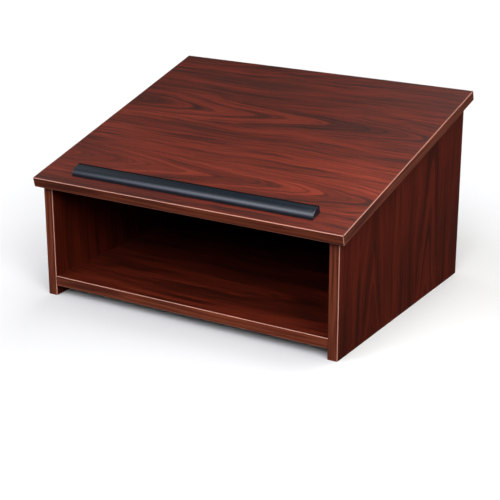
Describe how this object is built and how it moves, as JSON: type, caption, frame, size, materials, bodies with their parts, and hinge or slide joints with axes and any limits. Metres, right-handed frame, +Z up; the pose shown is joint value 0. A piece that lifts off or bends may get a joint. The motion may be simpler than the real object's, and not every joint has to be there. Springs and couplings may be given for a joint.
{
  "type": "tabletop lectern",
  "caption": "Tabletop lectern of laminated board: a sloping reading top with a book stop, on two side panels that also hold a shelf and a closed back, open at the front for storage.",
  "frame": {"origin": "on the table surface, under the middle of the lectern's overall width and depth", "axes": "+X to the reader's right along the width of the reading top, +Y away from the reader, towards the back, +Z up"},
  "size_m": [0.603, 0.496, 0.3431],
  "materials": {
    "laminate": "satin laminate with a printed reddish-brown wood grain",
    "edge_band": "satin wood-grain edge band with a light trimmed bevel",
    "stop_rubber": "satin black",
    "bright_steel": "zinc plated",
    "zinc": "die cast, matt",
    "beech": "raw turned wood"
  },
  "bodies": {
    "root": {"top_board": "laminate", "top_front_band": "edge_band", "top_back_band": "edge_band", "top_left_band": "edge_band", "top_right_band": "edge_band", "left_side_board": "laminate", "left_front_band": "edge_band", "left_back_band": "edge_band", "right_side_board": "laminate", "right_front_band": "edge_band", "right_back_band": "edge_band", "shelf_board": "laminate", "shelf_front_band": "edge_band", "back_board": "laminate", "back_bottom_band": "edge_band", "book_stop": "stop_rubber", "book_stop_screws": "bright_steel", "top_dowels": "beech", "top_cam_bolts": "bright_steel", "top_cam_locks": "zinc", "shelf_dowels": "beech", "shelf_cam_bolts": "bright_steel", "shelf_cam_locks": "zinc", "back_dowels": "beech", "back_cam_bolts": "bright_steel", "back_cam_locks": "zinc", "shelf_back_dowels": "beech"}
  },
  "joints": []
}
